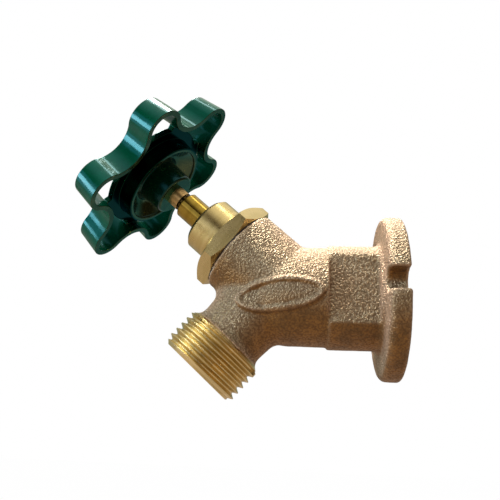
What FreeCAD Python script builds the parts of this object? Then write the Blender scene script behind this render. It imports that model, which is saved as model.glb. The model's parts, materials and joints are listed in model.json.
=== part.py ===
import FreeCAD, Part
import math
import os

# Sillcock: a wall-flanged hose valve with a slanted stem, a six-lobed hand wheel and a threaded hose spout.
# Millimetres and degrees. The origin is the centre of the flange's wall face, on the inlet axis.
# +X runs into the wall, +Z is up, and the valve reaches out from the wall along -X.
# Heights on the stem and lengths on the spout are both counted from the point where those two axes cross.

Vector = FreeCAD.Vector

# Axes
stem_rise = 41.0
spout_drop = 49.0
crossing_reach = 36.8
crossing_height = 3.4

# Wall flange, with two open screw slots
flange_radius = 25.0
flange_thickness = 6.0
flange_front_round = 2.0
flange_back_round = 0.8
slot_width = 6.2
slot_depth = 7.4

# Inlet boss behind the flange, with two wrench flats
inlet_boss_radius = 16.0
inlet_boss_length = 21.6
wrench_width = 24.4
flat_margin = 1.0
flange_fillet = 1.6

# Casting around the valve chamber
run_radius = 15.3
bonnet_boss_radius = 14.1
bonnet_boss_height = 16.8
spout_root_radius = 12.6
spout_waist_radius = 11.0
spout_neck_radius = 12.9
neck_flare = 3.2
junction_round = 4.0

# Hose spout and its thread
spout_length = 36.3
hose_thread_radius = 13.49
hose_thread_length = 12.2
hose_pitch = 2.209
hose_thread_turn = 94.0
thread_runout = 0.6
spout_bore_radius = 9.4
spout_bore_depth = 20.0
mouth_chamfer = 1.6

# Water passages
pipe_bore_radius = 9.2
pipe_bore_depth = 16.0
inlet_passage_radius = 5.5
chamber_radius = 9.9
chamber_floor = -5.0
seat_hole_radius = 6.2
seat_well_depth = 9.0
spout_passage_radius = 6.0
spout_passage_step = 0.5
bottom_relief = 0.5

# Oval plate on the side of the casting: a raised border round a bare field
plate_length = 26.0
plate_height = 9.9
plate_border = 1.3
plate_raise = 0.9
plate_field_raise = 0.25
plate_drop = 2.8
plate_reach = 36.0
plate_tilt = 6.2

# Bonnet
bonnet_thread_radius = 10.4
bonnet_hex_width = 27.0
bonnet_hex_height = 5.0
bonnet_hex_turn = 23.0
bonnet_barrel_radius = 9.3
bonnet_height = 32.0
bonnet_bottom = 9.6
bonnet_lead = 0.8
barrel_chamfer = 1.1
stuffing_radius = 6.3
stuffing_depth = 5.6
throat_length = 1.2
gasket_thickness = 0.5
gasket_margin = 0.6

# Stem
stem_radius = 4.4
stem_thread_radius = 6.33
stem_thread_pitch = 2.54
stem_thread_low = 5.2
turns_open = 3
thread_end_gap = 0.58
stem_thread_lead = 0.9
stem_collar_radius = 5.3
collar_chamfer = 0.4
stem_shank_out = 9.4
shoulder_chamfer = 0.3
stem_groove_radius = 2.95
stem_groove_width = 1.3
stem_neck_radius = 3.3
stem_neck_length = 3.7
neck_chamfer = 0.2
tang_width = 4.6
tang_end_gap = 1.1

# Seat, seat washer and its swivelling holder
seat_flange_radius = 7.4
seat_flange_thickness = 0.7
seat_lip_radius = 5.4
seat_lip_height = 0.5
seat_lip_flare = 0.5
seat_bore_radius = 4.1
seat_shank_length = 3.4
washer_radius = 6.6
washer_thickness = 3.2
holder_wall = 0.7
holder_base = 1.8
holder_skirt = 2.0
holder_chamfer = 0.5
stud_radius = 2.4
stud_length = 5.6
stud_groove_depth = 0.5
clip_width = 0.7
clip_reach = 0.45
clip_opening = 1.2
clip_side_fit = 0.02
screw_head_radius = 3.2
screw_head_height = 1.6
screw_head_chamfer = 0.6
screw_shank_radius = 1.7
screw_length = 6.9
screw_slot_depth = 0.7

# Packing
packing_washer_thickness = 0.8
packing_ring_thickness = 1.7
packing_taper = 0.4

# Hand wheel: a lobed band, a round web inside it, and a dished middle with a hub
wheel_lobes = 6
wheel_turn = 18.6
wheel_tip_radius = 32.3
wheel_valley_radius = 22.2
wheel_lobe_radius = 6.8
wheel_front_scale = 0.955
wheel_wall = 1.8
wheel_depth = 9.0
web_thickness = 2.0
web_radius = 18.7
web_bridge_width = 6.0
hub_radius = 7.3
hub_length = 15.1
hub_chamfer = 0.6
hub_draft = 0.5
dish_radius = 15.1
dish_wall = 1.3
dish_edge_depth = 0.9
dish_draft = 0.4
dish_corner_height = 1.2
dish_flat_start = 1.6
dish_flat_end = 3.2
dish_slope_start = 0.6
# How far the wheel's parts lie in front of the hub's back end
dish_rim_step = 5.2
wheel_back_step = 7.0
dish_floor_step = 9.4
web_step = 10.3

# Face of the wheel, with its plain disc and screw
face_radius = 12.4
face_round = 0.8
face_recess = 0.6
plate_disc_radius = 11.0
plate_disc_thickness = 0.8
lock_washer_radius = 4.1
lock_washer_thickness = 0.7
lock_washer_split = 0.6
wheel_screw_head_radius = 4.0
wheel_screw_head_height = 2.3
wheel_screw_radius = 1.6
wheel_screw_length = 9.0
wheel_screw_lead = 0.4
driver_slot_width = 1.0
driver_slot_depth = 1.1

# Clearances
thread_fit = 0.08
running_fit = 0.06
seated_fit = 0.05
screw_fit = 0.1

# How far a cutting shape runs on past the face it starts from
overrun = 1.0

# Points and directions worked out from the sizes
rise = math.radians(stem_rise)
drop = math.radians(spout_drop)
crossing = Vector(-crossing_reach, 0, crossing_height)
stem_dir = Vector(-math.cos(rise), 0, math.sin(rise))
spout_dir = Vector(-math.cos(drop), 0, -math.sin(drop))
stem_foot = crossing - stem_dir * (crossing_height / math.sin(rise))
bonnet_seat = bonnet_boss_height + gasket_thickness
seat_plane = chamber_floor + seat_flange_thickness + seat_lip_height
washer_top = seat_plane + washer_thickness
holder_top = washer_top + holder_base
stem_bottom = holder_top + running_fit
stuffing_floor = bonnet_height - stuffing_depth
stem_thread_bore_top = stuffing_floor - throat_length
lift = turns_open * stem_thread_pitch
stem_thread_high = stem_thread_bore_top - lift - thread_end_gap
stem_shoulder = bonnet_height + stem_shank_out
groove_top = stem_shoulder + stem_groove_width
hub_back = groove_top + stem_neck_length
hub_front = hub_back + hub_length
stem_top = hub_front - tang_end_gap
dish_rim = hub_back + dish_rim_step
dish_floor = hub_back + dish_floor_step
wheel_back = hub_back + wheel_back_step
wheel_front = wheel_back + wheel_depth
web_back = hub_back + web_step


def axis_frame(origin, direction):
    # local +Z lies along the direction and local +X along the valve's +Y
    z = direction
    x = Vector(0, 1, 0)
    y = z.cross(x)
    m = FreeCAD.Matrix(
        x.x, y.x, z.x, origin.x,
        x.y, y.y, z.y, origin.y,
        x.z, y.z, z.z, origin.z,
        0, 0, 0, 1)
    return FreeCAD.Placement(m)


stem_frame = axis_frame(crossing, stem_dir)
spout_frame = axis_frame(crossing, spout_dir)
inlet_frame = axis_frame(Vector(0, 0, 0), Vector(-1, 0, 0))


def placed(shape, frame):
    result = shape.copy()
    result.Placement = frame.multiply(shape.Placement)
    return result


def turned(profile):
    # closed outline of (radius, height) points, turned about local Z
    points = [Vector(r, 0, z) for r, z in profile]
    face = Part.Face(Part.makePolygon(points + points[:1]))
    return face.revolve(Vector(0, 0, 0), Vector(0, 0, 1), 360)


def rod(radius, low, high):
    return Part.makeCylinder(radius, high - low, Vector(0, 0, low))


def ring(outer, inner, low, high):
    return rod(outer, low, high).cut(rod(inner, low - overrun, high + overrun))


def prism(sides, across_flats, low, high, turn):
    corner = across_flats / 2 / math.cos(math.pi / sides)
    step = 2 * math.pi / sides
    start = math.radians(turn)
    points = [Vector(corner * math.cos(start + i * step), corner * math.sin(start + i * step), low)
              for i in range(sides)]
    face = Part.Face(Part.makePolygon(points + points[:1]))
    return face.extrude(Vector(0, 0, high - low))


def threaded(blank, radius, pitch, low, high):
    # helical groove with 60 degree flanks; the crest left between two turns is an eighth of the pitch wide
    depth = 0.6134 * pitch
    slope = math.tan(math.radians(30))
    crest_half = 7 / 16 * pitch
    outside = pitch / 15
    root = radius - depth
    root_half = crest_half - depth * slope
    outer_half = crest_half + outside * slope
    helix = Part.makeHelix(pitch, high - low, root)
    outline = [
        Vector(root, 0, -root_half),
        Vector(radius + outside, 0, -outer_half),
        Vector(radius + outside, 0, outer_half),
        Vector(root, 0, root_half)]
    profile = Part.makePolygon(outline + outline[:1])
    sweep = Part.BRepOffsetAPI.MakePipeShell(helix)
    sweep.setFrenetMode(True)
    sweep.add(profile)
    sweep.build()
    sweep.makeSolid()
    cutter = sweep.shape()
    cutter.translate(Vector(0, 0, low))
    # a helical cut can fail silently, so the blank is turned until a cut has taken out a groove's worth
    top = min(high, blank.BoundBox.ZMax)
    length = 2 * math.pi * (radius - 0.4 * depth) * (top - low) / pitch
    groove = depth * (crest_half + root_half) * length
    for seam in range(0, 360, 15):
        turned_blank = blank.copy()
        turned_blank.rotate(Vector(0, 0, 0), Vector(0, 0, 1), seam)
        result = turned_blank.cut(cutter)
        removed = (blank.Volume - result.Volume) / groove
        if result.isValid() and 0.75 < removed < 1.05:
            return result
    raise ValueError("the thread could not be cut")


def casting_skin(extra):
    # run from the wall, rounded end, bonnet boss and spout root, all grown outwards by the same amount
    reach = -stem_foot.x
    run = placed(rod(run_radius + extra, flange_thickness / 2, reach), inlet_frame)
    knob = Part.makeSphere(run_radius + extra, stem_foot)
    boss = placed(rod(bonnet_boss_radius + extra, -crossing_height, bonnet_boss_height), stem_frame)
    neck_end = spout_length - hose_thread_length
    root = spout_root_radius + extra
    waist = spout_waist_radius + extra
    rise = spout_neck_radius - spout_waist_radius
    # the neck narrows to a waist and flares out to the thread in three straight steps
    spout = placed(turned([
        (0, 0),
        (root, 0),
        (waist, neck_end - neck_flare),
        (waist + 0.1 * rise, neck_end - 0.6 * neck_flare),
        (waist + 0.4 * rise, neck_end - 0.3 * neck_flare),
        (waist + rise, neck_end),
        (0, neck_end)]), spout_frame)
    return run.fuse([knob, boss, spout]).removeSplitter()


def oval_prism(length, height, low, high):
    # an ellipse lying in the XZ plane and drawn out along -Y
    curve = Part.Ellipse(Vector(0, 0, 0), length / 2, height / 2)
    face = Part.Face(Part.Wire([curve.toShape()]))
    block = face.extrude(Vector(0, 0, high - low))
    block.rotate(Vector(0, 0, 0), Vector(1, 0, 0), 90)
    block.translate(Vector(0, -low, 0))
    block.rotate(Vector(0, 0, 0), Vector(0, 1, 0), -plate_tilt)
    block.translate(Vector(-plate_reach, 0, -plate_drop))
    return block


def side_plate():
    inside = 0.5 * run_radius
    outside = 1.5 * run_radius
    whole = oval_prism(plate_length, plate_height, inside, outside)
    field = oval_prism(plate_length - 2 * plate_border, plate_height - 2 * plate_border, inside, outside)
    border = whole.cut(field).common(casting_skin(plate_raise))
    bare_field = field.common(casting_skin(plate_field_raise))
    return border.fuse(bare_field)


def water_passages():
    # from the pipe the water dips under the partition, rises through the seat and leaves by the spout
    pipe_bore = placed(rod(pipe_bore_radius, -overrun, pipe_bore_depth), inlet_frame)
    well_low = chamber_floor - seat_well_depth
    well_bottom = crossing + stem_dir * well_low
    start = Vector(-pipe_bore_depth + 2 * overrun, 0, 0)
    run = well_bottom - start
    run_length = run.Length
    run.normalize()
    inlet_passage = Part.makeCylinder(inlet_passage_radius, run_length, start, run)
    well_end = Part.makeSphere(inlet_passage_radius, well_bottom)
    boss_end = bonnet_boss_height + overrun
    seat_hole_low = chamber_floor - seat_shank_length - bottom_relief
    upright = [
        rod(inlet_passage_radius, well_low, chamber_floor),
        rod(seat_hole_radius, seat_hole_low, chamber_floor + overrun),
        rod(chamber_radius, chamber_floor, boss_end),
        rod(bonnet_thread_radius, bonnet_bottom - bottom_relief, boss_end)]
    upright = [placed(hole, stem_frame) for hole in upright]
    bore_start = spout_length - spout_bore_depth
    passage = placed(rod(spout_passage_radius, 0, bore_start + overrun), spout_frame)
    passage.translate(stem_dir * (chamber_floor + spout_passage_radius + spout_passage_step))
    spout_bore = placed(rod(spout_bore_radius, bore_start, spout_length + overrun), spout_frame)
    return [pipe_bore, inlet_passage, well_end, passage, spout_bore] + upright


def hose_thread():
    low = spout_length - hose_thread_length
    full = low + thread_runout
    blank = turned([
        (0, low - overrun),
        (spout_waist_radius, low - overrun),
        (hose_thread_radius, full),
        (hose_thread_radius, spout_length - mouth_chamfer),
        (hose_thread_radius - mouth_chamfer, spout_length),
        (0, spout_length)])
    thread = threaded(blank, hose_thread_radius, hose_pitch, full, spout_length + 0.8 * hose_pitch)
    thread.rotate(Vector(0, 0, 0), Vector(0, 0, 1), hose_thread_turn)
    return placed(thread, spout_frame)


def rims(shape, height, smallest):
    # the round edges at this height, as large as this or larger
    circles = [edge for edge in shape.Edges if isinstance(edge.Curve, Part.Circle)]
    level = [edge for edge in circles if abs(edge.CenterOfMass.z - height) < 0.01]
    return [edge for edge in level if edge.Curve.Radius > smallest]


def flange():
    disc = rod(flange_radius, 0, flange_thickness)
    disc = disc.makeFillet(flange_back_round, rims(disc, 0, 0))
    disc = disc.makeFillet(flange_front_round, rims(disc, flange_thickness, 0))
    slot_end = flange_radius - slot_depth + slot_width / 2
    through = flange_thickness + 2 * overrun
    slot = rod(slot_width / 2, 0, through)
    opening = Part.makeBox(slot_depth, slot_width, through)
    opening.translate(Vector(0, -slot_width / 2, 0))
    slot = slot.fuse(opening)
    slot.translate(Vector(slot_end, 0, -overrun))
    other_slot = slot.copy()
    other_slot.rotate(Vector(0, 0, 0), Vector(0, 0, 1), 180)
    return placed(disc.cut([slot, other_slot]), inlet_frame)


def inlet_boss():
    # the fillet where the boss meets the flange is drawn in three straight steps
    low = flange_thickness - overrun
    step = 0.3 * flange_fillet
    return placed(turned([
        (0, low),
        (inlet_boss_radius + flange_fillet, low),
        (inlet_boss_radius + flange_fillet, flange_thickness),
        (inlet_boss_radius + step, flange_thickness + step),
        (inlet_boss_radius, flange_thickness + flange_fillet),
        (inlet_boss_radius, inlet_boss_length),
        (0, inlet_boss_length)]), inlet_frame)


def wrench_flats():
    low = flange_thickness + flat_margin
    block = Part.makeBox(inlet_boss_radius, 2 * flange_radius, inlet_boss_length - low)
    block.translate(Vector(wrench_width / 2, -flange_radius, low))
    other = block.copy()
    other.rotate(Vector(0, 0, 0), Vector(0, 0, 1), 180)
    return [placed(block, inlet_frame), placed(other, inlet_frame)]


def valve_body():
    skin = casting_skin(0)
    junctions = [e for e in skin.Edges if not e.Degenerated and isinstance(e.Curve, Part.BSplineCurve)]
    skin = skin.makeFillet(junction_round, junctions)
    casting = skin.fuse(inlet_boss()).cut(wrench_flats())
    casting = casting.fuse([flange(), side_plate(), hose_thread()])
    casting = casting.cut(water_passages())
    return casting.removeSplitter()


def valve_seat():
    # renewable ring: shank in the casting's partition, flange on it, raised lip for the washer
    flange_top = chamber_floor + seat_flange_thickness
    shank_low = chamber_floor - seat_shank_length
    shank = seat_hole_radius - seated_fit
    return placed(turned([
        (seat_bore_radius, shank_low),
        (shank, shank_low),
        (shank, chamber_floor),
        (seat_flange_radius, chamber_floor),
        (seat_flange_radius, flange_top),
        (seat_lip_radius + seat_lip_flare, flange_top),
        (seat_lip_radius, seat_plane),
        (seat_bore_radius, seat_plane)]), stem_frame)


def bonnet():
    hex_top = bonnet_seat + bonnet_hex_height
    corner = bonnet_hex_width / math.sqrt(3)
    flat = bonnet_hex_width / 2
    corner_drop = math.tan(math.radians(30)) * (corner - flat)
    hexagon = prism(6, bonnet_hex_width, bonnet_seat, hex_top, bonnet_hex_turn)
    rounded = turned([
        (0, bonnet_seat),
        (flat, bonnet_seat),
        (corner, bonnet_seat + corner_drop),
        (corner, hex_top - corner_drop),
        (flat, hex_top),
        (0, hex_top)])
    hexagon = hexagon.common(rounded)
    thread = bonnet_thread_radius - thread_fit
    barrel = turned([
        (0, bonnet_bottom),
        (thread - bonnet_lead, bonnet_bottom),
        (thread, bonnet_bottom + bonnet_lead),
        (thread, bonnet_seat),
        (bonnet_barrel_radius, bonnet_seat + bonnet_hex_height / 2),
        (bonnet_barrel_radius, bonnet_height - barrel_chamfer),
        (bonnet_barrel_radius - barrel_chamfer, bonnet_height),
        (0, bonnet_height)])
    stem_bore = rod(stem_thread_radius + running_fit, bonnet_bottom - overrun, stem_thread_bore_top)
    throat = rod(stem_radius + running_fit, stem_thread_bore_top - overrun, stuffing_floor + overrun)
    stuffing_box = rod(stuffing_radius, stuffing_floor, bonnet_height + overrun)
    return placed(hexagon.fuse(barrel).cut([stem_bore, throat, stuffing_box]).removeSplitter(), stem_frame)


def bonnet_gasket():
    outer = bonnet_boss_radius - gasket_margin
    return placed(ring(outer, bonnet_thread_radius, bonnet_boss_height, bonnet_seat), stem_frame)


def stuffing_ring(low, high):
    return placed(ring(stuffing_radius - seated_fit, stem_radius + running_fit, low, high), stem_frame)


def packing_washer():
    return stuffing_ring(stuffing_floor, stuffing_floor + packing_washer_thickness)


def packing_ring(index):
    # the rings' ends are bevelled, so each one nests on the next
    low = stuffing_floor + packing_washer_thickness + index * packing_ring_thickness
    high = low + packing_ring_thickness
    outer = stuffing_radius - seated_fit
    inner = stem_radius + running_fit
    return placed(turned([
        (inner, low + packing_taper),
        (outer, low),
        (outer, high),
        (inner, high + packing_taper)]), stem_frame)


def lower_packing_ring():
    return packing_ring(0)


def upper_packing_ring():
    return packing_ring(1)


def packing_gland():
    low = stuffing_floor + packing_washer_thickness + 2 * packing_ring_thickness
    outer = stuffing_radius - seated_fit
    inner = stem_radius + running_fit
    return placed(turned([
        (inner, low + packing_taper),
        (outer, low),
        (outer, bonnet_height),
        (inner, bonnet_height)]), stem_frame)


def clip_low():
    return holder_top + stud_length - 2 * clip_width


def valve_stem():
    thread = stem_thread_radius
    thread_end = thread - stem_thread_lead
    body = turned([
        (0, stem_bottom),
        (stem_collar_radius - collar_chamfer, stem_bottom),
        (stem_collar_radius, stem_bottom + collar_chamfer),
        (stem_collar_radius, stem_thread_low),
        (thread_end, stem_thread_low),
        (thread, stem_thread_low + stem_thread_lead),
        (thread, stem_thread_high - stem_thread_lead),
        (thread_end, stem_thread_high),
        (stem_radius, stem_thread_high),
        (stem_radius, stem_shoulder - shoulder_chamfer),
        (stem_radius - shoulder_chamfer, stem_shoulder),
        (stem_groove_radius, stem_shoulder),
        (stem_groove_radius, groove_top),
        (stem_neck_radius - neck_chamfer, groove_top),
        (stem_neck_radius, groove_top + neck_chamfer),
        (stem_neck_radius, hub_back),
        (0, hub_back)])
    tang = Part.makeBox(tang_width, tang_width, stem_top - hub_back + overrun)
    tang.translate(Vector(-tang_width / 2, -tang_width / 2, hub_back - overrun))
    body = threaded(body, thread, stem_thread_pitch, stem_thread_low, stem_thread_high)
    socket_top = holder_top + stud_length + bottom_relief
    stud_socket = rod(stud_radius + running_fit, stem_bottom - overrun, socket_top)
    clip_room = stud_radius + clip_reach + screw_fit
    clip_space = rod(clip_room, clip_low() - screw_fit, clip_low() + clip_width + screw_fit)
    hole_low = screw_seat() - wheel_screw_length - bottom_relief
    screw_hole = rod(wheel_screw_radius + seated_fit, hole_low, stem_top + overrun)
    shape = body.fuse(tang).cut([stud_socket, clip_space, screw_hole])
    return placed(shape.removeSplitter(), stem_frame)


def washer_holder():
    # cup over the seat washer, with a stud that swivels in the stem's lower end
    cup_inside = washer_radius + seated_fit
    cup_radius = cup_inside + holder_wall
    skirt_low = washer_top - holder_skirt
    clip_top = clip_low() + clip_width
    waist = stud_radius - stud_groove_depth
    holder = turned([
        (0, washer_top),
        (cup_inside, washer_top),
        (cup_inside, skirt_low),
        (cup_radius, skirt_low),
        (cup_radius, holder_top - holder_chamfer),
        (cup_radius - holder_chamfer, holder_top),
        (stud_radius, holder_top),
        (stud_radius, clip_low()),
        (waist, clip_low()),
        (waist, clip_top),
        (stud_radius, clip_top),
        (stud_radius, holder_top + stud_length),
        (0, holder_top + stud_length)])
    screw_hole = rod(screw_shank_radius, washer_top - overrun, seat_plane + screw_length + bottom_relief)
    return placed(holder.cut(screw_hole), stem_frame)


def holder_clip():
    # open ring in the stud's groove
    inner = stud_radius - stud_groove_depth + seated_fit
    low = clip_low() + clip_side_fit
    high = clip_low() + clip_width - clip_side_fit
    opening = Part.makeBox(2 * stud_radius, clip_opening, 2 * clip_width)
    opening.translate(Vector(0, -clip_opening / 2, low - clip_width / 2))
    return placed(ring(stud_radius + clip_reach, inner, low, high).cut(opening), stem_frame)


def seat_washer():
    return placed(ring(washer_radius, screw_shank_radius + screw_fit, seat_plane, washer_top), stem_frame)


def screw_slot(head, low, high):
    # block that cuts the driver slot right across a screw's head
    length = 2 * (head + overrun)
    slot = Part.makeBox(length, driver_slot_width, high - low)
    slot.translate(Vector(-length / 2, -driver_slot_width / 2, low))
    return slot


def washer_screw():
    head_low = seat_plane - screw_head_height
    shank = screw_shank_radius - seated_fit
    tip = seat_plane + screw_length
    screw = turned([
        (0, head_low),
        (screw_head_radius - screw_head_chamfer, head_low),
        (screw_head_radius, head_low + screw_head_chamfer),
        (screw_head_radius, seat_plane),
        (shank, seat_plane),
        (shank, tip),
        (0, tip)])
    slot = screw_slot(screw_head_radius, head_low - overrun, head_low + screw_slot_depth)
    return placed(screw.cut(slot), stem_frame)


def polar(radius, angle, height):
    return Vector(radius * math.cos(angle), radius * math.sin(angle), height)


def toward(start, goal, distance):
    step = goal - start
    step.normalize()
    return start + step * distance


def lobe_outline(scale, inset, height):
    # six round tips joined by round valleys that run into them without a corner
    tip = wheel_tip_radius * scale
    valley = wheel_valley_radius * scale
    lobe = wheel_lobe_radius * scale
    lobe_centre = tip - lobe
    half = math.pi / wheel_lobes
    gap = lobe_centre ** 2 + valley ** 2 - 2 * lobe_centre * valley * math.cos(half) - lobe ** 2
    valley_round = gap / (2 * (lobe + lobe_centre * math.cos(half) - valley))
    valley_centre = valley + valley_round
    edges = []
    for i in range(wheel_lobes):
        here = math.radians(wheel_turn) + 2 * half * i
        tip_centre = polar(lobe_centre, here, height)
        before = polar(valley_centre, here - half, height)
        after = polar(valley_centre, here + half, height)
        start = toward(tip_centre, before, lobe - inset)
        end = toward(tip_centre, after, lobe - inset)
        next_tip = polar(lobe_centre, here + 2 * half, height)
        next_start = toward(next_tip, after, lobe - inset)
        edges.append(Part.Arc(start, polar(tip - inset, here, height), end).toShape())
        edges.append(Part.Arc(end, polar(valley - inset, here + half, height), next_start).toShape())
    return Part.Wire(edges)


def screw_seat():
    return hub_front - face_recess + plate_disc_thickness + lock_washer_thickness


def lobed_band():
    outer = Part.makeLoft([
        lobe_outline(1, 0, wheel_back),
        lobe_outline(wheel_front_scale, 0, wheel_front)], True, True)
    inner = Part.makeLoft([
        lobe_outline(1, wheel_wall, wheel_back),
        lobe_outline(wheel_front_scale, wheel_wall, wheel_front)], True, True)
    return outer, outer.cut(inner)


def hand_wheel():
    outer, band = lobed_band()
    web_front = web_back + web_thickness
    # the web is a round disc that reaches the band only by a short bridge at each valley
    web = rod(web_radius, web_back, web_front)
    for i in range(wheel_lobes):
        bridge = Part.makeBox(wheel_valley_radius, web_bridge_width, web_thickness)
        bridge.translate(Vector(0, -web_bridge_width / 2, web_back))
        bridge.rotate(Vector(0, 0, 0), Vector(0, 0, 1), wheel_turn + 360 / wheel_lobes * (i + 0.5))
        web = web.fuse(bridge)
    web = web.common(outer)
    dish_inner = dish_radius - dish_wall
    dish_outer = dish_radius + dish_draft
    plate_seat = plate_disc_radius + seated_fit
    hub = turned([
        (0, hub_back),
        (hub_radius - hub_chamfer, hub_back),
        (hub_radius, hub_back + hub_chamfer),
        (hub_radius + hub_draft, dish_floor - dish_corner_height),
        (hub_radius + dish_flat_start, dish_floor),
        (hub_radius + dish_flat_end, dish_floor - dish_slope_start),
        (dish_inner, dish_rim + dish_edge_depth),
        (dish_inner, dish_rim),
        (dish_radius, dish_rim),
        (dish_outer, web_back),
        (dish_outer, web_front),
        (face_radius + face_round, hub_front - face_round),
        (face_radius, hub_front),
        (plate_seat, hub_front),
        (plate_seat, hub_front - face_recess),
        (0, hub_front - face_recess)])
    side = tang_width + 2 * seated_fit
    socket = Part.makeBox(side, side, hub_front - hub_back + 2 * overrun)
    socket.translate(Vector(-side / 2, -side / 2, hub_back - overrun))
    return placed(band.fuse([web, hub]).cut(socket).removeSplitter(), stem_frame)


def index_plate():
    low = hub_front - face_recess
    high = low + plate_disc_thickness
    return placed(ring(plate_disc_radius, wheel_screw_radius + screw_fit, low, high), stem_frame)


def lock_washer():
    # split ring under the screw's head
    high = screw_seat()
    low = high - lock_washer_thickness
    whole = ring(lock_washer_radius, wheel_screw_radius + screw_fit, low, high)
    height = lock_washer_thickness + 2 * overrun
    split = Part.makeBox(lock_washer_radius + overrun, lock_washer_split, height)
    split.translate(Vector(0, -lock_washer_split / 2, low - overrun))
    return placed(whole.cut(split), stem_frame)


def wheel_screw():
    seat = screw_seat()
    top = seat + wheel_screw_head_height
    tip = seat - wheel_screw_length
    head = wheel_screw_head_radius
    shank = wheel_screw_radius
    screw = turned([
        (0, tip),
        (shank - wheel_screw_lead, tip),
        (shank, tip + wheel_screw_lead),
        (shank, seat),
        (head, seat),
        (head, seat + 0.5 * wheel_screw_head_height),
        (0.8 * head, seat + 0.85 * wheel_screw_head_height),
        (0.45 * head, top),
        (0, top)])
    slot = screw_slot(head, top - driver_slot_depth, top + overrun)
    return placed(screw.cut(slot), stem_frame)


pieces = [
    valve_body,
    valve_seat,
    bonnet,
    bonnet_gasket,
    packing_washer,
    lower_packing_ring,
    upper_packing_ring,
    packing_gland,
    valve_stem,
    washer_holder,
    holder_clip,
    seat_washer,
    washer_screw,
    hand_wheel,
    index_plate,
    lock_washer,
    wheel_screw]

os.makedirs("parts", exist_ok=True)
for make in pieces:
    shape = make()
    print(make.__name__, len(shape.Solids), shape.isValid(), round(shape.Volume, 1))
    shape.exportStep("parts/" + make.__name__ + ".step")
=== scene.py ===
import json
import math
import bmesh
import bpy
from mathutils import Matrix, Vector


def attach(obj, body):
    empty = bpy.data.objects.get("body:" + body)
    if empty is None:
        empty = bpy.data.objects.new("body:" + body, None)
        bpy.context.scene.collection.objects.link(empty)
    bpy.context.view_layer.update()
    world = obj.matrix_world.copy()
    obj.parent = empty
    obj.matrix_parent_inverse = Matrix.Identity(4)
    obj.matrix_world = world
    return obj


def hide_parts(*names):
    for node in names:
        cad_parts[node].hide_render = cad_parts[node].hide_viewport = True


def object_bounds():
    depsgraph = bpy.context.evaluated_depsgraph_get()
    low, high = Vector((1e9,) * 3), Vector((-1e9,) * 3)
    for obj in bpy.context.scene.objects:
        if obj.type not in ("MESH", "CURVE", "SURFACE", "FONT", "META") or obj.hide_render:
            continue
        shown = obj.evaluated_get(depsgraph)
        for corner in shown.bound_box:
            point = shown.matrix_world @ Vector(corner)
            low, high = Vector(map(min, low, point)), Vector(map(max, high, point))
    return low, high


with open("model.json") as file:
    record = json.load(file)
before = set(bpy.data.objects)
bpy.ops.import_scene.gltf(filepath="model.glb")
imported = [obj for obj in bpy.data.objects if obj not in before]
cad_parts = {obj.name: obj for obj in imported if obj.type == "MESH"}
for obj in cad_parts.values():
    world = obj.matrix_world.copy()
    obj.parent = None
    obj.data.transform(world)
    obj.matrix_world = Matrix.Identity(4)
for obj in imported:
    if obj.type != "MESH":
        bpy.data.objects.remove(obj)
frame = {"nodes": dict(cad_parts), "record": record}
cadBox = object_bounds()
record = frame["record"]
print("frame loaded:", len(frame["nodes"]), "nodes")

# The two slanted axes of the valve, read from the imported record
wheelJoint = next(j for j in record["behaviour"]["joints"] if j["name"] == "wheel_turn")
spoutMouth = next(m for m in record["mounts"] if m["name"] == "hose_thread")
stemLine = {"from": Vector(wheelJoint["pos_m"]), "along": Vector(wheelJoint["axis"]).normalized()}
spoutLine = {"from": Vector(spoutMouth["pos_m"]), "along": Vector(spoutMouth["axis"]).normalized()}


# Shader helpers


def addNode(tree, kind, inputs=None, **settings):
    node = tree.nodes.new("ShaderNode" + kind)
    for name, value in settings.items():
        setattr(node, name, value)
    fillSockets(tree, node, inputs or {})
    return node


def fillSockets(tree, node, inputs):
    for name, value in inputs.items():
        socket = node.inputs[name]
        if isinstance(value, bpy.types.NodeSocket):
            tree.links.new(value, socket)
        else:
            socket.default_value = value


def maths(tree, operation, first, second=0.0):
    return addNode(tree, "Math", {0: first, 1: second}, operation=operation).outputs[0]


def vectorMaths(tree, operation, inputs):
    return addNode(tree, "VectorMath", inputs, operation=operation)


def mixColor(tree, share, first, second):
    # sockets 0, 6 and 7 of a colour mix are its share and its two colours
    return addNode(tree, "Mix", {0: share, 6: first, 7: second}, data_type="RGBA").outputs[2]


def tint(tree, base, mask, share, color):
    # lays a share of the colour over the base, where the mask is 1
    return mixColor(tree, maths(tree, "MULTIPLY", mask, share), base, color)


def remap(tree, value, fromLow, fromHigh, toLow=0.0, toHigh=1.0):
    return addNode(tree, "MapRange", {
        "Value": value, "From Min": fromLow, "From Max": fromHigh, "To Min": toLow, "To Max": toHigh},
        interpolation_type="SMOOTHSTEP").outputs[0]


def between(tree, value, low, high):
    above = maths(tree, "GREATER_THAN", value, low)
    return maths(tree, "MULTIPLY", above, maths(tree, "LESS_THAN", value, high))


def newGroup(name, inputs, outputs):
    tree = bpy.data.node_groups.new(name, "ShaderNodeTree")
    for title, kind in inputs.items():
        tree.interface.new_socket(title, in_out="INPUT", socket_type="NodeSocket" + kind)
    for title in outputs:
        tree.interface.new_socket(title, in_out="OUTPUT", socket_type="NodeSocketFloat")
    return tree, tree.nodes.new("NodeGroupInput").outputs, tree.nodes.new("NodeGroupOutput")


def useGroup(tree, group, inputs):
    node = tree.nodes.new("ShaderNodeGroup")
    node.node_tree = group
    fillSockets(tree, node, inputs)
    return node.outputs


def newMaterial(name):
    material = bpy.data.materials.new(name)
    material.use_nodes = True
    tree = material.node_tree
    return material, tree, tree.nodes["Principled BSDF"]


def dress(tree, shader, tone, rough, bump):
    fillSockets(tree, shader, {"Base Color": tone, "Roughness": rough, "Normal": bump.outputs[0]})


def objectPoint(tree):
    return addNode(tree, "TexCoord").outputs["Object"]


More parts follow.
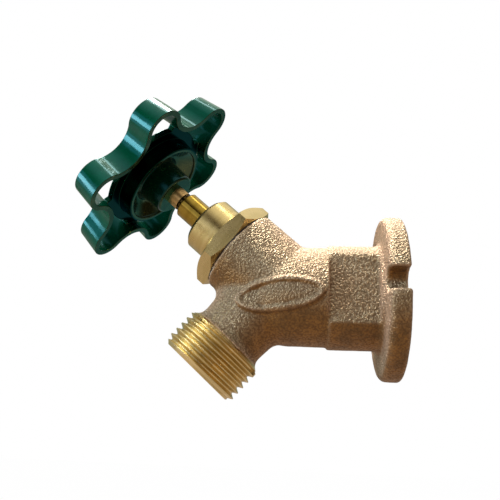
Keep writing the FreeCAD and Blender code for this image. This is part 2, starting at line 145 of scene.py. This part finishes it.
def turnedPoint(tree, line):
    # object coordinates seen from a turning axis: its own Z lies along the axis
    turn = line["along"].to_track_quat("Z", "Y").inverted()
    return addNode(tree, "Mapping", {
        "Vector": objectPoint(tree), "Rotation": turn.to_euler(), "Location": turn @ -line["from"]},
        vector_type="POINT").outputs[0]


def scaledPoint(tree, point, size):
    # one unit of the result is as long as the size
    return vectorMaths(tree, "SCALE", {0: point, "Scale": maths(tree, "DIVIDE", 1.0, size)}).outputs[0]


def fromAxis(tree, parts):
    # distance from the turning axis, from a turned point that is split in its parts
    acrossOne = maths(tree, "MULTIPLY", parts.outputs[0], parts.outputs[0])
    acrossTwo = maths(tree, "MULTIPLY", parts.outputs[1], parts.outputs[1])
    return maths(tree, "SQRT", maths(tree, "ADD", acrossOne, acrossTwo))


# Effects that several materials share

skinRecipe = {
    "stirScale": 0.8, "stirDetail": 1.0, "smoothness": 0.35, "toothScale": 1.3, "toothDetail": 3.0,
    "toothRoughness": 0.6, "lumpDetail": 3.0, "lumpRoughness": 0.55, "moundLimits": (0.75, 0.05),
    "pitLimits": (0.72, 0.42), "patchLimits": (0.35, 0.65),
    "moundShare": 0.5, "toothShare": 0.9, "lumpShare": 1.2}
marksRecipe = {
    "ringDetail": 2.0, "ringRoughness": 0.7, "slowScale": 0.12, "slowDetail": 1.0, "slowRoughness": 0.5,
    "shadeLimits": (0.3, 0.7)}
handledRecipe = {
    "smearDetail": 5.0, "smearRoughness": 0.62, "smearDistortion": 0.8, "smearLimits": (0.35, 0.68),
    "scratchStretch": (14.0, 1.2, 9.0), "scratchTurn": (0.4, 0.9, 0.2), "scratchDetail": 2.0,
    "scratchRoughness": 0.6, "scratchLimits": (0.62, 0.72)}
wornRecipe = {"noiseDetail": 3.0, "noiseMiddle": 0.5, "noiseShare": 0.02}


def sandSkinGroup():
    # what a sand mould leaves: close rounded grains, a finer tooth on them and slow unevenness under them
    recipe = skinRecipe
    tree, given, out = newGroup(
        "sandSkin", {"Point": "Vector", "Grain": "Float", "Patch": "Float"}, ["Height", "Pits", "Patches"])
    close = scaledPoint(tree, given["Point"], given["Grain"])
    wide = scaledPoint(tree, given["Point"], given["Patch"])
    stir = addNode(tree, "TexNoise", {
        "Vector": close, "Scale": recipe["stirScale"], "Detail": recipe["stirDetail"]})
    moved = vectorMaths(tree, "ADD", {0: close, 1: stir.outputs["Color"]})
    grains = addNode(tree, "TexVoronoi", {
        "Vector": moved.outputs[0], "Scale": 1.0, "Smoothness": recipe["smoothness"]}, feature="SMOOTH_F1")
    tooth = addNode(tree, "TexNoise", {
        "Vector": close, "Scale": recipe["toothScale"], "Detail": recipe["toothDetail"],
        "Roughness": recipe["toothRoughness"]})
    lumps = addNode(tree, "TexNoise", {
        "Vector": wide, "Scale": 1.0, "Detail": recipe["lumpDetail"], "Roughness": recipe["lumpRoughness"]})
    mounds = remap(tree, grains.outputs["Distance"], *recipe["moundLimits"])
    height = maths(tree, "ADD", maths(tree, "MULTIPLY", mounds, recipe["moundShare"]),
                   maths(tree, "MULTIPLY", tooth.outputs[0], recipe["toothShare"]))
    pits = remap(tree, height, *recipe["pitLimits"])
    height = maths(tree, "ADD", height, maths(tree, "MULTIPLY", lumps.outputs[0], recipe["lumpShare"]))
    patches = remap(tree, lumps.outputs[0], *recipe["patchLimits"])
    fillSockets(tree, out, {"Height": height, "Pits": pits, "Patches": patches})
    return tree


def toolMarksGroup():
    # fine rings that a lathe tool leaves round the piece's own axis
    recipe = marksRecipe
    tree, given, out = newGroup(
        "toolMarks", {"Point": "Vector", "Spacing": "Float", "Waver": "Float"}, ["Height", "Shade"])
    parts = addNode(tree, "SeparateXYZ", {0: given["Point"]})
    angle = maths(tree, "ARCTAN2", parts.outputs[1], parts.outputs[0])
    where = addNode(tree, "CombineXYZ", {
        0: maths(tree, "DIVIDE", fromAxis(tree, parts), given["Spacing"]),
        1: maths(tree, "MULTIPLY", maths(tree, "SINE", angle), given["Waver"]),
        2: maths(tree, "DIVIDE", parts.outputs[2], given["Spacing"])}).outputs[0]
    rings = addNode(tree, "TexNoise", {
        "Vector": where, "Scale": 1.0, "Detail": recipe["ringDetail"], "Roughness": recipe["ringRoughness"]})
    slow = addNode(tree, "TexNoise", {
        "Vector": where, "Scale": recipe["slowScale"], "Detail": recipe["slowDetail"],
        "Roughness": recipe["slowRoughness"]})
    shade = remap(tree, slow.outputs[0], *recipe["shadeLimits"])
    fillSockets(tree, out, {"Height": rings.outputs[0], "Shade": shade})
    return tree


def handledGroup():
    # smears, dull spots and thin scratches from handling
    recipe = handledRecipe
    tree, given, out = newGroup("handled", {"Point": "Vector", "Size": "Float"}, ["Smears", "Scratches"])
    scaled = scaledPoint(tree, given["Point"], given["Size"])
    smears = addNode(tree, "TexNoise", {
        "Vector": scaled, "Scale": 1.0, "Detail": recipe["smearDetail"],
        "Roughness": recipe["smearRoughness"], "Distortion": recipe["smearDistortion"]})
    stretched = addNode(tree, "Mapping", {
        "Vector": scaled, "Scale": recipe["scratchStretch"], "Rotation": recipe["scratchTurn"]})
    lines = addNode(tree, "TexNoise", {
        "Vector": stretched.outputs[0], "Scale": 1.0, "Detail": recipe["scratchDetail"],
        "Roughness": recipe["scratchRoughness"]})
    fillSockets(tree, out, {
        "Smears": remap(tree, smears.outputs[0], *recipe["smearLimits"]),
        "Scratches": remap(tree, lines.outputs[0], *recipe["scratchLimits"])})
    return tree


def wornEdgeGroup():
    # 1 on the outer edges of a piece with broken edges, torn by a small noise
    recipe = wornRecipe
    tree, given, out = newGroup(
        "wornEdge", {"Point": "Vector", "Start": "Float", "Full": "Float", "Breakup": "Float"}, ["Edge"])
    pointed = addNode(tree, "NewGeometry").outputs["Pointiness"]
    noise = addNode(tree, "TexNoise", {
        "Vector": scaledPoint(tree, given["Point"], given["Breakup"]), "Scale": 1.0,
        "Detail": recipe["noiseDetail"]})
    swing = maths(tree, "SUBTRACT", noise.outputs[0], recipe["noiseMiddle"])
    torn = maths(tree, "ADD", pointed, maths(tree, "MULTIPLY", swing, recipe["noiseShare"]))
    edge = addNode(tree, "MapRange", {"Value": torn, "From Min": given["Start"], "From Max": given["Full"]})
    fillSockets(tree, out, {"Edge": edge.outputs[0]})
    return tree


sandSkin = sandSkinGroup()
toolMarks = toolMarksGroup()
handled = handledGroup()
wornEdge = wornEdgeGroup()
print("shared effects built")


# Materials

# Cast bronze: its colours, how much of each is laid on, where each starts and is full, then its relief and
# gloss. Lengths are in metres, here and below.
castBronze = {
    # Among these colours are painted light and shade: a paler tone for the tops, a brown shade and darker
    # mottling for the undersides, a green-grey for the front faces, and a pale ridge tone that is partly a
    # painted highlight
    "high": (0.67, 0.435, 0.29, 1), "low": (0.13, 0.075, 0.04, 1), "pale": (0.54, 0.41, 0.285, 1),
    "green": (0.28, 0.265, 0.155, 1), "underShade": (0.325, 0.152, 0.028, 1), "rubbedHighlight": (0.80, 0.60, 0.42, 1),
    "underMottle": (0.15, 0.085, 0.035, 1), "topLight": (0.82, 0.66, 0.50, 1),
    "paleShare": 0.4, "topLightShare": 0.6, "sideShare": 0.55, "smearShare": 0.22, "underShadeShare": 0.9,
    "pitShare": 0.5, "underMottleShare": 0.7, "hollowShare": 0.6, "rubbedHighlightShare": 0.7,
    "underLimits": (0.0, -0.65), "sideLimits": (-0.35, -0.95), "overLimits": (0.35, 0.95),
    "ridgeReach": 0.0010, "ridgeLimits": (0.94, 0.72), "hollowReach": 0.0016, "hollowLimits": (0.92, 0.60),
    "samples": 8, "grain": 0.00070, "patch": 0.009, "smearSize": 0.022, "underMottleSize": 0.006, "relief": 0.00054,
    "smoothBelow": 0.55, "metal": 0.75, "roughLow": 0.42, "roughHigh": 0.60}


def castBronzeMaterial():
    look = castBronze
    material, tree, shader = newMaterial("castBronze")
    point = objectPoint(tree)
    skin = useGroup(tree, sandSkin, {"Point": point, "Grain": look["grain"], "Patch": look["patch"]})
    smear = useGroup(tree, handled, {"Point": point, "Size": look["smearSize"]})
    spots = useGroup(tree, handled, {"Point": point, "Size": look["underMottleSize"]})
    # ridges are painted pale, partly as rubbed wear and partly as a painted highlight, and hollows are
    # painted darker as shade: both are found by how much metal lies close by
    inner = addNode(tree, "AmbientOcclusion", {"Distance": look["ridgeReach"]}, inside=True, only_local=True)
    outer = addNode(tree, "AmbientOcclusion", {"Distance": look["hollowReach"]}, only_local=True)
    inner.samples = outer.samples = look["samples"]
    ridge = remap(tree, inner.outputs["AO"], *look["ridgeLimits"])
    hollow = remap(tree, outer.outputs["AO"], *look["hollowLimits"])
    # painted light and shade by facing: the top is painted paler as if lit from above, the underside a brown
    # shade, and the faces turned towards −Y a green-grey tone for the cool front light
    facing = addNode(tree, "SeparateXYZ", {0: addNode(tree, "NewGeometry").outputs["Normal"]})
    under = remap(tree, facing.outputs[2], *look["underLimits"])
    side = remap(tree, facing.outputs[1], *look["sideLimits"])
    over = remap(tree, facing.outputs[2], *look["overLimits"])
    # darker mottling on the downward faces, laid over their painted brown shade
    underMottled = maths(tree, "MULTIPLY", under, spots["Smears"])
    # the list lays the bronze's own patches, smears and pits, and painted light and shade: paler tops, brown
    # undersides, a green-grey front, darker mottled undersides, darker hollows and pale ridges that are
    # partly a painted highlight
    tone = look["high"]
    for mask, share, color in (
            (skin["Patches"], "paleShare", "pale"), (over, "topLightShare", "topLight"),
            (side, "sideShare", "green"), (smear["Smears"], "smearShare", "green"),
            (under, "underShadeShare", "underShade"), (skin["Pits"], "pitShare", "low"), (underMottled, "underMottleShare", "underMottle"),
            (hollow, "hollowShare", "low"), (ridge, "rubbedHighlightShare", "rubbedHighlight")):
        tone = tint(tree, tone, mask, look[share], look[color])
    rough = remap(tree, skin["Pits"], 0, 1, look["roughLow"], look["roughHigh"])
    keep = maths(tree, "SUBTRACT", 1.0, maths(tree, "MULTIPLY", under, look["smoothBelow"]))
    bump = addNode(tree, "Bump", {"Strength": keep, "Distance": look["relief"], "Height": skin["Height"]})
    dress(tree, shader, tone, rough, bump)
    shader.inputs["Metallic"].default_value = look["metal"]
    return material


# Brass in three finishes: as machined, polished with a coppery neck and painted shade in its groove, and worn
# on the thread
machinedBrass = {
    "light": (0.64, 0.50, 0.22, 1), "deep": (0.47, 0.36, 0.12, 1), "dull": (0.42, 0.33, 0.12, 1),
    "spacing": 0.00022, "relief": 0.00002, "roughLow": 0.24, "roughHigh": 0.34}
polishedBrass = {
    "light": (0.37, 0.25, 0.045, 1), "deep": (0.21, 0.13, 0.012, 1), "dull": (0.20, 0.12, 0.018, 1),
    "spacing": 0.00012, "relief": 0.000001, "roughLow": 0.13, "roughHigh": 0.22,
    "band": (0.85, 0.55, 0.24, 1), "groove": (0.035, 0.022, 0.008, 1), "grooveLow": 0.0411,
    "bandLow": 0.0429, "bandHigh": 0.0466}
threadBrass = {
    "light": (0.86, 0.69, 0.36, 1), "deep": (0.51, 0.36, 0.10, 1), "dull": (0.41, 0.28, 0.06, 1),
    "spacing": 0.00018, "relief": 0.00001, "roughLow": 0.24, "roughHigh": 0.42, "rounding": 0.00022}
brassWear = {
    "waver": 0.3, "smearSize": 0.006, "edgeStart": 0.53, "edgeFull": 0.6, "edgeBreakup": 0.001,
    "deepShare": 0.5, "dullShare": 0.15, "edgeShare": 0.6, "bandShare": 0.8, "grooveShare": 0.92,
    "bandRough": 0.2, "scratchRough": 0.08, "bumpStrength": 0.6, "roundingSamples": 6}


def brassMaterial(name, look, line):
    material, tree, shader = newMaterial(name)
    wear = brassWear
    point = objectPoint(tree)
    turned = turnedPoint(tree, line)
    marks = useGroup(tree, toolMarks, {"Point": turned, "Spacing": look["spacing"], "Waver": wear["waver"]})
    smear = useGroup(tree, handled, {"Point": point, "Size": wear["smearSize"]})
    worn = useGroup(tree, wornEdge, {
        "Point": point, "Start": wear["edgeStart"], "Full": wear["edgeFull"], "Breakup": wear["edgeBreakup"]})
    tone = tint(tree, look["light"], marks["Shade"], wear["deepShare"], look["deep"])
    tone = tint(tree, tone, smear["Smears"], wear["dullShare"], look["dull"])
    tone = tint(tree, tone, worn["Edge"], wear["edgeShare"], look["light"])
    rough = remap(tree, smear["Smears"], 0, 1, look["roughLow"], look["roughHigh"])
    if "band" in look:
        # the neck keeps a coppery skin that the polishing wheel doesn't reach
        height = addNode(tree, "SeparateXYZ", {0: turned}).outputs[2]
        inBand = between(tree, height, look["bandLow"], look["bandHigh"])
        tone = tint(tree, tone, inBand, wear["bandShare"], look["band"])
        # the groove below the neck is painted dark as shade
        inGroove = between(tree, height, look["grooveLow"], look["bandLow"])
        tone = tint(tree, tone, inGroove, wear["grooveShare"], look["groove"])
        rough = maths(tree, "ADD", rough, maths(tree, "MULTIPLY", inBand, wear["bandRough"]))
    rough = maths(tree, "ADD", rough, maths(tree, "MULTIPLY", smear["Scratches"], wear["scratchRough"]))
    bump = addNode(tree, "Bump", {
        "Strength": wear["bumpStrength"], "Distance": look["relief"], "Height": marks["Height"]})
    if "rounding" in look:
        # crests and roots worn round
        rounded = addNode(tree, "Bevel", {"Radius": look["rounding"]})
        rounded.samples = wear["roundingSamples"]
        tree.links.new(rounded.outputs[0], bump.inputs["Normal"])
    dress(tree, shader, tone, rough, bump)
    shader.inputs["Metallic"].default_value = 1.0
    return material


# Green enamel: its colours, the wheel's radii and heights along the stem that part its zones, then its wear
# and gloss. The limits for the inward faces and for the dust also hold the share at either end.
enamel = {
    "green": (0.0, 0.090, 0.042, 1), "deepGreen": (0.0, 0.055, 0.026, 1), "thin": (0.05, 0.10, 0.035, 1),
    "shine": (0.10, 0.72, 0.86, 1), "inside": (0.0, 0.010, 0.005, 1), "dust": (0.085, 0.115, 0.055, 1),
    "hubRadius": 0.0085, "dishRadius": 0.0147, "webRadius": 0.0202, "dishBack": 0.0515, "webFront": 0.0583,
    "backLimits": (-0.4, -0.9), "inwardLimits": (0.15, -0.45, 0.0, 0.8), "dustLimits": (0.0, 0.8, 0.95, 0.55),
    "hiddenShare": 0.85, "thinShare": 0.7, "backMetal": 0.8, "smearSize": 0.009,
    "edgeStart": 0.56, "edgeFull": 0.66, "edgeBreakup": 0.0012,
    "ripple": 0.00004, "rippleSize": 0.0035, "rippleDetail": 1.5,
    "roughLow": 0.10, "roughHigh": 0.20, "scratchRough": 0.12,
    "specular": 0.5, "coat": 0.05, "coatRough": 0.12}


def enamelMaterial():
    look = enamel
    material, tree, shader = newMaterial("greenEnamel")
    point = objectPoint(tree)
    smear = useGroup(tree, handled, {"Point": point, "Size": look["smearSize"]})
    worn = useGroup(tree, wornEdge, {
        "Point": point, "Start": look["edgeStart"], "Full": look["edgeFull"], "Breakup": look["edgeBreakup"]})
    scaled = addNode(tree, "Mapping", {"Vector": point, "Scale": (1 / look["rippleSize"],) * 3})
    ripple = addNode(tree, "TexNoise", {
        "Vector": scaled.outputs[0], "Scale": 1.0, "Detail": look["rippleDetail"]})
    tone = mixColor(tree, ripple.outputs[0], look["deepGreen"], look["green"])
    # which way each face looks, seen from the stem's axis
    normal = addNode(tree, "TexCoord").outputs["Normal"]
    along = tuple(stemLine["along"])
    reach = vectorMaths(tree, "SUBTRACT", {0: point, 1: tuple(stemLine["from"])})
    onAxis = vectorMaths(tree, "PROJECT", {0: reach.outputs[0], 1: along})
    outward = vectorMaths(tree, "SUBTRACT", {0: reach.outputs[0], 1: onAxis.outputs[0]})
    outward = vectorMaths(tree, "NORMALIZE", {0: outward.outputs[0]})
    inward = vectorMaths(tree, "DOT_PRODUCT", {0: normal, 1: outward.outputs[0]}).outputs["Value"]
    backward = vectorMaths(tree, "DOT_PRODUCT", {0: normal, 1: along}).outputs["Value"]
    # the wheel's zones: its back, the web, the dish round the hub, and the hub
    onBack = remap(tree, backward, *look["backLimits"])
    place = addNode(tree, "SeparateXYZ", {0: turnedPoint(tree, stemLine)})
    radius = fromAxis(tree, place)
    behind = between(tree, place.outputs[2], look["dishBack"], look["webFront"])
    onWeb = maths(tree, "MULTIPLY", behind, between(tree, radius, look["dishRadius"], look["webRadius"]))
    onDish = maths(tree, "MULTIPLY", behind, between(tree, radius, look["hubRadius"], look["dishRadius"]))
    onHub = maths(tree, "MULTIPLY", maths(tree, "LESS_THAN", radius, look["hubRadius"]),
                  maths(tree, "LESS_THAN", place.outputs[2], look["webFront"]))
    # painted shade blackens the back, the web, the hub and the faces that look inward, where light falls off
    # inside the wheel
    hidden = maths(tree, "MAXIMUM", remap(tree, inward, *look["inwardLimits"]), onBack)
    hidden = maths(tree, "MAXIMUM", hidden, maths(tree, "MAXIMUM", onWeb, onHub))
    tone = tint(tree, tone, hidden, look["hiddenShare"], look["inside"])
    # dull dust lies in the dish and on the back, but not on the web
    offWeb = maths(tree, "SUBTRACT", 1.0, onWeb)
    dusty = maths(tree, "MULTIPLY", maths(tree, "MAXIMUM", onDish, maths(tree, "MULTIPLY", onBack, offWeb)),
                  remap(tree, smear["Smears"], *look["dustLimits"]))
    tone = mixColor(tree, dusty, tone, look["dust"])
    tone = tint(tree, tone, worn["Edge"], look["thinShare"], look["thin"])
    rough = remap(tree, smear["Smears"], 0, 1, look["roughLow"], look["roughHigh"])
    rough = maths(tree, "ADD", rough, maths(tree, "MULTIPLY", smear["Scratches"], look["scratchRough"]))
    bump = addNode(tree, "Bump", {"Strength": 1.0, "Distance": look["ripple"], "Height": ripple.outputs[0]})
    dress(tree, shader, tone, rough, bump)
    # on the faces painted black as shade the metal setting takes away the sheen that plain paint would keep
    black = maths(tree, "MAXIMUM", onWeb, maths(tree, "MULTIPLY", onBack, look["backMetal"]))
    fillSockets(tree, shader, {
        "Metallic": black, "Specular IOR Level": look["specular"], "Specular Tint": look["shine"],
        "Coat Weight": look["coat"], "Coat Roughness": look["coatRough"]})
    return material


# The small or hidden pieces share one recipe: two tones, their roughness, and how much metal
plainLooks = {
    "plainAluminium": {
        "one": (0.58, 0.59, 0.61, 1), "two": (0.42, 0.43, 0.45, 1), "rough": (0.25, 0.4), "metal": 1.0},
    "screwSteel": {
        "one": (0.60, 0.59, 0.56, 1), "two": (0.38, 0.37, 0.35, 1), "rough": (0.28, 0.45), "metal": 1.0},
    "blackRubber": {
        "one": (0.020, 0.020, 0.021, 1), "two": (0.045, 0.044, 0.043, 1), "rough": (0.6, 0.8), "metal": 0.0},
    "packingFibre": {
        "one": (0.06, 0.06, 0.062, 1), "two": (0.14, 0.135, 0.13, 1), "rough": (0.55, 0.8), "metal": 0.1},
    "gasketFibre": {
        "one": (0.030, 0.022, 0.015, 1), "two": (0.085, 0.065, 0.045, 1), "rough": (0.7, 0.9), "metal": 0.0}}
plainWear = {
    "smearSize": 0.004, "spacing": 0.00025, "waver": 0.4, "shadeShare": 0.35, "bumpStrength": 0.5,
    "relief": 0.00001}


def plainMaterial(name):
    look, wear = plainLooks[name], plainWear
    material, tree, shader = newMaterial(name)
    smear = useGroup(tree, handled, {"Point": objectPoint(tree), "Size": wear["smearSize"]})
    marks = useGroup(tree, toolMarks, {
        "Point": turnedPoint(tree, stemLine), "Spacing": wear["spacing"], "Waver": wear["waver"]})
    tone = mixColor(tree, smear["Smears"], look["one"], look["two"])
    tone = tint(tree, tone, marks["Shade"], wear["shadeShare"], look["two"])
    rough = remap(tree, smear["Smears"], 0, 1, *look["rough"])
    bump = addNode(tree, "Bump", {
        "Strength": wear["bumpStrength"], "Distance": wear["relief"], "Height": marks["Height"]})
    dress(tree, shader, tone, rough, bump)
    shader.inputs["Metallic"].default_value = look["metal"]
    return material


finishes = {
    "castBronze": castBronzeMaterial(),
    "machinedBrass": brassMaterial("machinedBrass", machinedBrass, stemLine),
    "polishedBrass": brassMaterial("polishedBrass", polishedBrass, stemLine),
    "threadBrass": brassMaterial("threadBrass", threadBrass, spoutLine),
    "greenEnamel": enamelMaterial()}
for name in plainLooks:
    finishes[name] = plainMaterial(name)
print("materials built:", len(finishes))


# Pieces

# Corners closer than joinWithin are one, and those closer to a cut than onCut lie on it
meshSetup = {"joinWithin": 1e-6, "onCut": 1e-6}
castingShape = {
    "threadLength": 0.0124, "voxel": 0.00044, "smoothing": 2, "smoothShare": 0.5, "unevenness": 0.00014,
    "unevenSize": 0.0035, "unevenDepth": 2}
threadShape = {"runOut": 0.0129, "crease": math.radians(24)}
wheelShape = {"edgeWidth": 0.0005, "edgeSteps": 3}
bonnetShape = {"edgeWidth": 0.00025, "edgeSteps": 3}
# Faces within flatAngle are made one, edges sharper than edgeAngle are broken, and joinWithin joins the
# corners that the broken edges leave on top of each other
brokenEdges = {"flatAngle": math.radians(0.6), "edgeAngle": math.radians(28), "joinWithin": 0.000005}


def mergedCopy(node):
    # the node's own triangles, with the doubled corners joined
    bm = bmesh.new()
    bm.from_mesh(frame["nodes"][node].data)
    bmesh.ops.remove_doubles(bm, verts=bm.verts, dist=meshSetup["joinWithin"])
    return bm


def newPiece(name, bm, finish, body, nodes):
    mesh = bpy.data.meshes.new(name)
    for face in bm.faces:
        face.smooth = True
    bm.to_mesh(mesh)
    bm.free()
    mesh.materials.append(finishes[finish])
    piece = bpy.data.objects.new(name, mesh)
    bpy.context.scene.collection.objects.link(piece)
    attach(piece, body)
    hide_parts(*nodes)
    return piece


def closedCut(bm, point, along):
    # cuts away what lies beyond the point and closes the ring that the cut leaves
    bmesh.ops.bisect_plane(
        bm, geom=bm.verts[:] + bm.edges[:] + bm.faces[:], plane_co=point, plane_no=along, clear_outer=True)
    rim = [edge for edge in bm.edges if edge.is_boundary
           and all(abs((vert.co - point).dot(along)) < meshSetup["onCut"] for vert in edge.verts)]
    bmesh.ops.bridge_loops(bm, edges=rim)


def makeCasting():
    bm = mergedCopy("valve_body")
    cut = spoutLine["from"] - spoutLine["along"] * castingShape["threadLength"]
    closedCut(bm, cut, spoutLine["along"])
    piece = newPiece("valveCasting", bm, "castBronze", "valve", ["valve_body"])
    remesh = piece.modifiers.new("even", "REMESH")
    remesh.mode = "VOXEL"
    remesh.voxel_size = castingShape["voxel"]
    remesh.use_smooth_shade = True
    smooth = piece.modifiers.new("soften", "SMOOTH")
    smooth.factor = castingShape["smoothShare"]
    smooth.iterations = castingShape["smoothing"]
    lumps = bpy.data.textures.new("mouldUnevenness", "CLOUDS")
    lumps.noise_scale = castingShape["unevenSize"]
    lumps.noise_depth = castingShape["unevenDepth"]
    uneven = piece.modifiers.new("uneven", "DISPLACE")
    uneven.texture = lumps
    uneven.strength = castingShape["unevenness"]


def makeThread():
    bm = mergedCopy("valve_body")
    cut = spoutLine["from"] - spoutLine["along"] * threadShape["runOut"]
    closedCut(bm, cut, -spoutLine["along"])
    for edge in bm.edges:
        edge.smooth = edge.calc_face_angle(0.0) < threadShape["crease"]
    newPiece("hoseThread", bm, "threadBrass", "valve", ["valve_body"])


def roundedCopy(name, node, finish, body, shape):
    # the node's solid with its sharp edges broken
    bm = mergedCopy(node)
    bmesh.ops.dissolve_limit(bm, angle_limit=brokenEdges["flatAngle"], verts=bm.verts, edges=bm.edges)
    piece = newPiece(name, bm, finish, body, [node])
    bevel = piece.modifiers.new("brokenEdges", "BEVEL")
    bevel.width = shape["edgeWidth"]
    bevel.segments = shape["edgeSteps"]
    bevel.limit_method = "ANGLE"
    bevel.angle_limit = brokenEdges["edgeAngle"]
    bevel.miter_outer = "MITER_ARC"
    joined = piece.modifiers.new("joined", "WELD")
    joined.merge_threshold = brokenEdges["joinWithin"]
    weighted = piece.modifiers.new("evenShading", "WEIGHTED_NORMAL")
    weighted.keep_sharp = True


makeCasting()
makeThread()
print("casting and thread made")

roundedCopy("handWheel", "hand_wheel", "greenEnamel", "stem_and_wheel", wheelShape)
roundedCopy("bonnetBody", "bonnet", "machinedBrass", "valve", bonnetShape)
print("wheel and bonnet made")

nodeFinishes = {
    "valve_stem": "polishedBrass", "valve_seat": "machinedBrass", "bonnet_gasket": "gasketFibre",
    "packing_washer": "machinedBrass", "lower_packing_ring": "packingFibre",
    "upper_packing_ring": "packingFibre", "packing_gland": "machinedBrass",
    "washer_holder": "machinedBrass", "holder_clip": "machinedBrass",
    "seat_washer": "blackRubber", "washer_screw": "machinedBrass", "index_plate": "plainAluminium",
    "lock_washer": "screwSteel", "wheel_screw": "screwSteel", "valve_body": "castBronze",
    "hand_wheel": "greenEnamel", "bonnet": "machinedBrass"}
for node, finish in nodeFinishes.items():
    for slot in frame["nodes"][node].material_slots:
        slot.material = finishes[finish]
print("nodes finished:", len(nodeFinishes))


# Camera, floor and light

# Places and sizes are in metres, the camera's turn in degrees and its lens and sensor in millimetres
cameraSetup = {
    "place": (-0.03153, -0.184101, -0.048792), "turn": (109.1114, -2.5219, 3.6748), "lens": 43.914,
    "sensor": 36, "nearest": 0.005}
floorSetup = {
    "height": -0.085, "size": 3.0, "color": (0.17, 0.105, 0.06, 1), "rough": 0.9, "whiteness": 0.995,
    "mirrored": 0.3}
lampSetup = {
    "key": {"place": (-0.14, 0.06, 0.61), "long": (1, 0, 0), "size": (0.18, 0.18), "power": 6.0,
            "color": (1.0, 0.94, 0.87)},
    "window": {"place": (-0.60, -0.18, 0.10), "long": (0, 0.4, 0.9), "size": (0.44, 0.44), "power": 0.8,
               "color": (0.30, 0.72, 1.0)},
    "pane": {"place": (-0.58, -0.17, 0.10), "long": (0, 0.4, 0.9), "size": (0.36, 0.16), "power": 2.1,
             "color": (0.85, 0.93, 1.0)},
    "top": {"place": (-0.05, -0.10, 0.60), "long": (1, 0, 0), "size": (0.50, 0.08), "power": 0.8,
            "color": (1.0, 0.96, 0.90)},
    "front": {"place": (-0.35, -0.55, 0.05), "long": (1, 0, 0), "size": (0.30, 0.30), "power": 0.22,
              "color": (0.88, 0.92, 1.0)}}
worldSetup = {
    "above": (1.15, 1.10, 1.00, 1), "below": (0.045, 0.026, 0.014, 1), "aboveLimits": (0.30, 0.85),
    "behind": (0.30, 0.34, 0.26, 1), "behindLimits": (0.45, 0.85)}
white = (1, 1, 1, 1)


def makeCamera():
    data = bpy.data.cameras.new("photoCamera")
    data.lens = cameraSetup["lens"]
    data.sensor_width = cameraSetup["sensor"]
    data.clip_start = cameraSetup["nearest"]
    camera = bpy.data.objects.new("photoCamera", data)
    camera.location = cameraSetup["place"]
    camera.rotation_euler = [math.radians(a) for a in cameraSetup["turn"]]
    bpy.context.scene.collection.objects.link(camera)
    bpy.context.scene.camera = camera


def makeFloor():
    # a brown floor that looks white to the camera and pale in reflections
    bm = bmesh.new()
    bmesh.ops.create_grid(bm, x_segments=1, y_segments=1, size=floorSetup["size"])
    bmesh.ops.translate(bm, verts=bm.verts, vec=(0, 0, floorSetup["height"]))
    mesh = bpy.data.meshes.new("floor")
    bm.to_mesh(mesh)
    bm.free()
    floor = bpy.data.objects.new("floor", mesh)
    bpy.context.scene.collection.objects.link(floor)
    material, tree, shader = newMaterial("paleFloor")
    fillSockets(tree, shader, {"Base Color": floorSetup["color"], "Roughness": floorSetup["rough"]})
    path = addNode(tree, "LightPath")
    glow = addNode(tree, "Emission", {"Color": white, "Strength": 1.0})
    mirrored = maths(tree, "MULTIPLY", path.outputs["Is Glossy Ray"], floorSetup["mirrored"])
    seen = maths(tree, "MAXIMUM", path.outputs["Is Camera Ray"], mirrored)
    share = maths(tree, "MULTIPLY", seen, floorSetup["whiteness"])
    mix = addNode(tree, "MixShader", {0: share, 1: shader.outputs[0], 2: glow.outputs[0]})
    tree.links.new(mix.outputs[0], tree.nodes["Material Output"].inputs["Surface"])
    mesh.materials.append(material)


def makeWorld():
    # warm light from above, nearly none from below, white to the camera, and a dim wall behind in reflections
    world = bpy.data.worlds.new("studio")
    bpy.context.scene.world = world
    world.use_nodes = True
    tree = world.node_tree
    direction = addNode(tree, "SeparateXYZ", {0: addNode(tree, "TexCoord").outputs["Generated"]})
    up = remap(tree, direction.outputs[2], *worldSetup["aboveLimits"])
    behind = remap(tree, direction.outputs[1], *worldSetup["behindLimits"])
    soft = mixColor(tree, up, worldSetup["below"], worldSetup["above"])
    light, wall, seen = (
        addNode(tree, "Background", {"Color": color, "Strength": 1.0}).outputs[0]
        for color in (soft, worldSetup["behind"], white))
    path = addNode(tree, "LightPath")
    mirrored = maths(tree, "MULTIPLY", path.outputs["Is Glossy Ray"], behind)
    mix = addNode(tree, "MixShader", {0: mirrored, 1: light, 2: wall})
    mix = addNode(tree, "MixShader", {0: path.outputs["Is Camera Ray"], 1: mix.outputs[0], 2: seen})
    tree.links.new(mix.outputs[0], tree.nodes["World Output"].inputs["Surface"])


def makeLamps():
    aim = (cadBox[0] + cadBox[1]) / 2
    for name, setup in lampSetup.items():
        data = bpy.data.lights.new(name, "AREA")
        data.shape = "RECTANGLE"
        data.size, data.size_y = setup["size"]
        data.energy = setup["power"]
        data.color = setup["color"]
        lamp = bpy.data.objects.new(name, data)
        lamp.location = setup["place"]
        lamp.rotation_mode = "QUATERNION"
        back = (Vector(setup["place"]) - aim).normalized()
        across = Vector(setup["long"])
        across = (across - back * across.dot(back)).normalized()
        lamp.rotation_quaternion = Matrix((across, back.cross(across), back)).transposed().to_quaternion()
        bpy.context.scene.collection.objects.link(lamp)


makeCamera()
makeFloor()
makeWorld()
makeLamps()
bpy.context.scene.view_settings.view_transform = "Standard"
print("camera, floor and light set")
